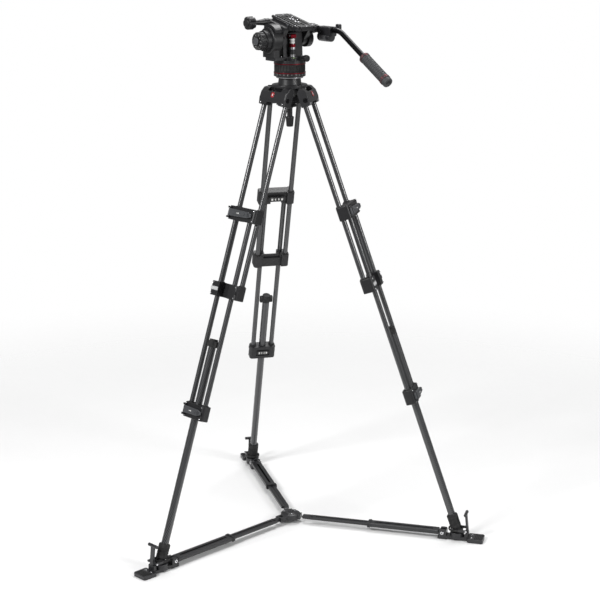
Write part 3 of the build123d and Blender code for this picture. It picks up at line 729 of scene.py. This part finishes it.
def digits(name, body, labels, radius, size, place):
    """Plain digits round a dial."""
    for k, label in enumerate(labels):
        curve = bpy.data.curves.new(f"{name}_{k}", "FONT")
        curve.body = label
        curve.size = size * MM
        curve.extrude = 0.15 * MM
        curve.align_x = "CENTER"
        curve.align_y = "CENTER"
        curve.materials.append(WHITE)
        angle = 90 - 360.0 * k / len(labels)
        spot = place @ turn_z(angle) @ shift(radius, 0, 0.2) @ turn_z(-90)
        text = bpy.data.objects.new(f"{name}_{k}", curve)
        bpy.context.scene.collection.objects.link(text)
        spot.translation = spot.translation * MM
        text.matrix_world = HEAD @ spot
        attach(text, body)


def facing_left(x, y, z):
    """A place on the head's left-hand side: the piece's Z points to the operator's left."""
    return shift(x, y, z) @ turn_y(-90)


def facing_right(x, y, z):
    return shift(x, y, z) @ turn_y(90)


def facing_back(x, y, z):
    return shift(x, y, z) @ turn_x(90)


DIAL_FACE = -134  # X of the counterbalance dial's outer face


def dress_balance_dial():
    """The counterbalance dial's face: cap, ticks and digits; and the housing's screws."""
    face = facing_left(DIAL_FACE, 0, TILT_AXIS_Z)
    bm = bmesh.new()
    add_lathe(bm, [(12.6, 0), (12.6, 5.6), (11.2, 7.2), (7, 7.4), (6.4, 6.6), (0.001, 6.4)], 40, face)
    finish_piece("balance_dial_cap", bm, HEAD, "balance_dial", LEVER_GREY)
    ring_of_marks("balance_dial_ticks", "balance_dial", WHITE, 30, 22.6, 25.4, 0.8,
                  facing_left(DIAL_FACE - 0.02, 0, TILT_AXIS_Z))
    digits("balance_dial_digit", "balance_dial", [str(n) for n in range(10)], 18.6, 6.2,
           facing_left(DIAL_FACE - 0.05, 0, TILT_AXIS_Z))
    bm = bmesh.new()
    for angle in (45, 135, 225, 315):
        spot = facing_left(-95, 0, TILT_AXIS_Z) @ turn_z(angle) @ shift(37.6, 0, -0.3)
        screw_head(bm, 3.0, 1.6, spot)
    finish_piece("balance_housing_screws", bm, HEAD, "pan_base", CAST)


def dress_turntable():
    """Red lines, ticks, the neck's bright ring, a bubble level, and the deck's screws."""
    bm = bmesh.new()
    add_ring(bm, [(52.2, 37.2), (52.9, 37.4), (52.9, 40.4), (52.2, 40.6)], Matrix.Identity(4), 96)
    finish_piece("base_red_line", bm, HEAD, "ball", RED)
    bm = bmesh.new()
    add_ring(bm, [(43.9, 21.6), (45.1, 22.0), (45.1, 25.4), (43.9, 25.8)], Matrix.Identity(4), 96)
    finish_piece("neck_bright_ring", bm, HEAD, "ball", SILVER)
    bm = bmesh.new()
    for z in (72.4, 76.4):
        add_ring(bm, [(51.7, z), (52.4, z + 0.3), (52.4, z + 1.7), (51.7, z + 2.0)], Matrix.Identity(4), 96)
    finish_piece("top_ring_beads", bm, HEAD, "pan_base", CAST)
    bm = bmesh.new()
    add_ring(bm, [(51.7, 67.0), (52.7, 67.3), (52.7, 69.7), (51.7, 70.0)], Matrix.Identity(4), 96)
    finish_piece("top_red_line", bm, HEAD, "pan_base", RED)
    bm = bmesh.new()
    for k in range(24):
        tick = turn_z(15 * k) @ shift(52.35, 0, 34.5) @ turn_y(90)
        tall = 7 if k % 3 == 0 else 4
        add_plate(bm, rounded_outline(tall, 0.9, 0.3, 2), 0.3, 0.1, tick)
    finish_piece("base_ring_ticks", bm, HEAD, "ball", WHITE)
    bm = bmesh.new()
    place = shift(-24, -52, 81)
    add_lathe(bm, [(10.5, 0), (10.5, 8), (9.2, 9.6), (7.4, 9.6), (7.2, 8.0), (0.001, 8.0)], 40, place)
    add_plate(bm, rounded_outline(12, 26, 3), 7, 1.0, place @ shift(0, 15, 0))
    finish_piece("level_holder", bm, HEAD, "pan_base", BLACK)
    bm = bmesh.new()
    add_lathe(bm, [(7.1, 8.0), (6.6, 9.2), (4.0, 9.9), (0.001, 10.1)], 32, place)
    finish_piece("level_vial", bm, HEAD, "pan_base", VIAL)
    bm = bmesh.new()
    for x, y in ((-50, -19), (-50, 19), (36, -18), (36, 18)):
        screw_head(bm, 3.0, 2.0, shift(x, y, 91.8))
    finish_piece("deck_screws", bm, HEAD, "pan_base", STEEL)
    bm = bmesh.new()
    add_plate(bm, [(-3.6, -2.6), (3.6, -2.6), (0, 3.8)], 0.5, 0.15, facing_back(2, -25.9, 86.4))
    for k in range(4):
        add_plate(bm, rounded_outline(3.2, 3.6, 0.6, 2), 0.5, 0.15, facing_back(12 + 5.2 * k, -25.9, 86.4))
    finish_piece("deck_marks", bm, HEAD, "pan_base", WHITE)


PISTON = (-12, -29, 0)


def dress_piston():
    """The printed sleeve and the pins of the counterbalance piston."""
    bm = bmesh.new()
    for z0, z1 in ((135.5, 142.5), (144.5, 150.5)):
        add_ring(bm, [(8.1, z0), (8.5, z0 + 0.3), (8.5, z1 - 0.3), (8.1, z1)], shift(*PISTON))
    finish_piece("piston_print", bm, HEAD, "pan_base", WHITE)
    bm = bmesh.new()
    add_ring(bm, [(10.1, 100), (10.5, 100.3), (10.5, 116), (10.1, 116.3)], shift(*PISTON))
    finish_piece("piston_band", bm, HEAD, "pan_base", BLACK)
    bm = bmesh.new()
    cylinder_along(bm, 3.2, (-24, -28, 161.5), (0, -28, 161.5))
    finish_piece("piston_pin", bm, HEAD, "pan_base", STEEL)


SEAT_Z = 190  # underside of the saddle's seat
PLATE_TOP_Z = 213.6
PLATE_Y = -10  # middle of the sliding plate


def dress_saddle():
    """Screws, release button and scales of the tilting saddle."""
    bm = bmesh.new()
    for side, face in ((-1, facing_left), (1, facing_right)):
        for y, z in ((-14, 180), (18, 180)):
            screw_head(bm, 3.2, 2.0, face(side * 58.3, y, z))
    for y in (-60, 42):
        for x in (-35, 35):
            screw_head(bm, 2.2, 1.0, shift(x, y, SEAT_Z + 21.7))
    finish_piece("saddle_screws", bm, SADDLE, "saddle", STEEL)
    bm = bmesh.new()
    add_lathe(bm, [(4.4, 0), (4.4, 2.4), (3.8, 3.4), (0.001, 3.8)], 28, facing_left(-39.8, -30, SEAT_Z + 15))
    finish_piece("release_button", bm, SADDLE, "saddle", LEVER_GREY)
    bm = bmesh.new()
    for k in range(15):
        tall = 4.5 if k % 5 == 0 else 2.6
        for face, x in ((facing_left, -40), (facing_right, 40)):
            add_plate(bm, rounded_outline(0.7, tall, 0.3, 2), 0.3, 0.1, face(x, -52 + 6 * k, SEAT_Z + 17.5))
    finish_piece("saddle_scale", bm, SADDLE, "saddle", WHITE)


def dress_plate():
    """The rubber strips, slot liners and stops of the sliding plate."""
    bm = bmesh.new()
    for side in (-1, 1):
        for k in range(22):
            strip = shift(side * 16.4, PLATE_Y - 48.3 + 4.6 * k, PLATE_TOP_Z - 0.1)
            add_plate(bm, rounded_outline(15, 3.2, 1.2, 3), 0.9, 0.3, strip)
    finish_piece("plate_rubber", bm, SADDLE, "plate", RUBBER)
    bm = bmesh.new()
    for y in (-64, 64):
        screw_head(bm, 2.6, 0.8, shift(0, PLATE_Y + y, PLATE_TOP_Z - 0.2))
    for y, radius in ((14, 8.4), (-14, 7.4)):
        flange = [(radius - 2.6, 0), (radius, 0), (radius, 0.5), (radius - 2.6, 1.2)]
        add_ring(bm, flange, shift(0, PLATE_Y + y, PLATE_TOP_Z))
    finish_piece("plate_hardware", bm, SADDLE, "plate", SILVER)


def dress_plate_knob():
    """The cap of the plate clamp's knob."""
    bm = bmesh.new()
    add_lathe(bm, [(12, 0), (12, 1.2), (10.5, 2.2), (0.001, 2.4)], 40, facing_left(-148, 48, 193))
    finish_piece("plate_knob_cap", bm, SADDLE, "plate_knob", BLACK)


BAR_X = 88
ROSETTE = (-39, 181)
BAR_BEND = Vector((BAR_X, -150, 178))
BAR_END = Vector((BAR_X, -377, 38.5))
GRIP_LONG = 142


def grip_frame():
    """The grip's own frame: Z runs down the grip from its upper end."""
    slope = (BAR_END - BAR_BEND).normalized()
    turn = slope.to_track_quat("Z", "Y").to_matrix().to_4x4()
    return Matrix.Translation(BAR_END + slope * (14 - GRIP_LONG)) @ turn


def dress_bar():
    """Rosette teeth, the clamp's band and screws, and the grip's red lines, ribs and end cap."""
    bm = bmesh.new()
    for k in range(24):
        tooth = facing_right(83.9, *ROSETTE) @ turn_z(15 * k) @ shift(8.2, 0, 0)
        add_plate(bm, [(-2.8, -0.45), (2.8, -0.8), (2.8, 0.8), (-2.8, 0.45)], 0.7, 0.15, tooth)
    finish_piece("rosette_teeth", bm, HEAD, "pan_handle", SILVER)
    bm = bmesh.new()
    screw_head(bm, 5.0, 4.0, facing_right(84, *ROSETTE))
    screw_head(bm, 3.4, 2.6, facing_right(123.8, -108, 184))
    finish_piece("bar_screws", bm, HEAD, "pan_handle", STEEL)
    bm = bmesh.new()
    band = [(15.05, 0), (15.4, 0.3), (15.4, 33.7), (15.05, 34)]
    add_ring(bm, band, shift(BAR_X, -60, 155) @ turn_x(90))
    finish_piece("clamp_band", bm, HEAD, "pan_handle", BAND_GREY)
    base = grip_frame()
    bm = bmesh.new()
    for z in (4.4, 10.4, GRIP_LONG - 23.6, GRIP_LONG - 17.6):
        add_ring(bm, [(17.4, z), (18.2, z + 0.3), (18.2, z + 1.5), (17.4, z + 1.8)], base)
    finish_piece("grip_red_lines", bm, HEAD, "pan_handle", RED)
    bm = bmesh.new()
    for k in range(22):
        z = 16.5 + 4.5 * k
        add_ring(bm, [(16.2, z), (17.2, z + 0.5), (17.2, z + 2.1), (16.2, z + 2.6)], base)
    finish_piece("grip_ribs", bm, HEAD, "pan_handle", GRIP_RUBBER)
    bm = bmesh.new()
    end = GRIP_LONG - 0.4
    add_lathe(bm, [(9.5, end), (9.5, end + 1.0), (8.4, end + 1.7), (0.001, end + 2.0)], 36, base)
    finish_piece("grip_end_cap", bm, HEAD, "pan_handle", BLACK)


def dress_crown():
    """The raised land round the bowl's rim."""
    bm = bmesh.new()
    add_ring(bm, [(50.6, -0.6), (57.2, -0.6), (56.8, 0.35), (51, 0.35)], Matrix.Identity(4), 96)
    finish_piece("rim_land", bm, HEAD, "crown", BAR_BLACK)


def dress_all():
    """All the added pieces of the tripod."""
    for name in LEGS:
        dress_leg(name)
        dress_foot(name)
    dress_hub()
    dress_crown()
    dress_turntable()
    dress_balance_dial()
    dress_piston()
    dress_saddle()
    dress_plate()
    dress_plate_knob()
    dress_bar()


dress_all()


# ------------------------------------------------------------------ studio


# metres, millimetres of focal length and degrees
CAMERA_DISTANCE = 5.243
CAMERA_HEIGHT = 2.177
CAMERA_LENS = 95.2
CAMERA_DOWN = 14.63
CAMERA_TURN = 0.37
FLOOR_HALF = 3.6
FADE_START = 0.9  # distance from the tripod's axis at which the floor begins to fade
FADE_END = 3.2


def add_camera():
    """The camera stands in front of the tripod, a little above head height, and looks slightly down."""
    axis = tripod_axis()
    data = bpy.data.cameras.new("camera")
    data.lens = CAMERA_LENS
    data.sensor_width = 36.0
    camera = bpy.data.objects.new("camera", data)
    camera.location = (axis.x, axis.y - CAMERA_DISTANCE, CAMERA_HEIGHT)
    camera.rotation_euler = (math.radians(90 - CAMERA_DOWN), 0, -math.radians(CAMERA_TURN))
    bpy.context.scene.collection.objects.link(camera)
    bpy.context.scene.camera = camera


def add_floor():
    """A pale round floor that fades out into the white surroundings."""
    s = Shader("studio_floor", (0.92, 0.92, 0.92), 0.0, 0.6)
    s.color(s.mix(s.noise(3, 2), (0.90, 0.90, 0.90), (0.94, 0.94, 0.94)))
    axis = tripod_axis()
    away = s.node("ShaderNodeVectorMath", operation="LENGTH")
    s.link(s.position(), away.inputs[0])
    fade = s.node("ShaderNodeMapRange", interpolation_type="SMOOTHSTEP")
    for socket, value in (("From Min", FADE_START), ("From Max", FADE_END), ("To Min", 1.0), ("To Max", 0.0)):
        fade.inputs[socket].default_value = value
    s.link(away.outputs["Value"], fade.inputs["Value"])
    s.link(fade.outputs["Result"], s.surface.inputs["Alpha"])
    mesh = bpy.data.meshes.new("floor")
    half = FLOOR_HALF
    corners = [(-half, -half, 0), (half, -half, 0), (half, half, 0), (-half, half, 0)]
    mesh.from_pydata(corners, [], [(0, 1, 2, 3)])
    mesh.materials.append(s.material)
    floor = bpy.data.objects.new("floor", mesh)
    floor.location = (axis.x, axis.y, -0.0005)
    bpy.context.scene.collection.objects.link(floor)


def add_light(name, place, size, power):
    """A large square soft light aimed at the middle of the tripod."""
    data = bpy.data.lights.new(name, "AREA")
    data.shape = "SQUARE"
    data.size = size
    data.energy = power
    light = bpy.data.objects.new(name, data)
    axis = tripod_axis()
    light.location = Vector((axis.x, axis.y, 0)) + Vector(place)
    aim = Vector((axis.x, axis.y, 0.9)) - light.location
    light.rotation_euler = aim.to_track_quat("-Z", "Y").to_euler()
    bpy.context.scene.collection.objects.link(light)


def add_studio():
    """White surroundings, which light the object less than they show, and three soft lights."""
    world = bpy.data.worlds.new("studio")
    world.use_nodes = True
    tree = world.node_tree
    lit = tree.nodes["Background"]
    lit.inputs["Strength"].default_value = 0.26
    shown = tree.nodes.new("ShaderNodeBackground")
    shown.inputs["Strength"].default_value = 1.0
    for background in (lit, shown):
        background.inputs["Color"].default_value = (1.0, 1.0, 1.0, 1.0)
    path = tree.nodes.new("ShaderNodeLightPath")
    choose = tree.nodes.new("ShaderNodeMixShader")
    tree.links.new(path.outputs["Is Camera Ray"], choose.inputs[0])
    tree.links.new(lit.outputs[0], choose.inputs[1])
    tree.links.new(shown.outputs[0], choose.inputs[2])
    tree.links.new(choose.outputs[0], tree.nodes["World Output"].inputs["Surface"])
    bpy.context.scene.world = world
    add_light("key", (-3.2, -3.0, 3.6), 1.3, 190)
    add_light("fill", (3.4, -2.4, 2.4), 1.3, 90)
    add_light("top", (0.4, 1.6, 4.4), 2.4, 105)


add_camera()
add_floor()
add_studio()
bpy.context.scene.view_settings.view_transform = "Standard"
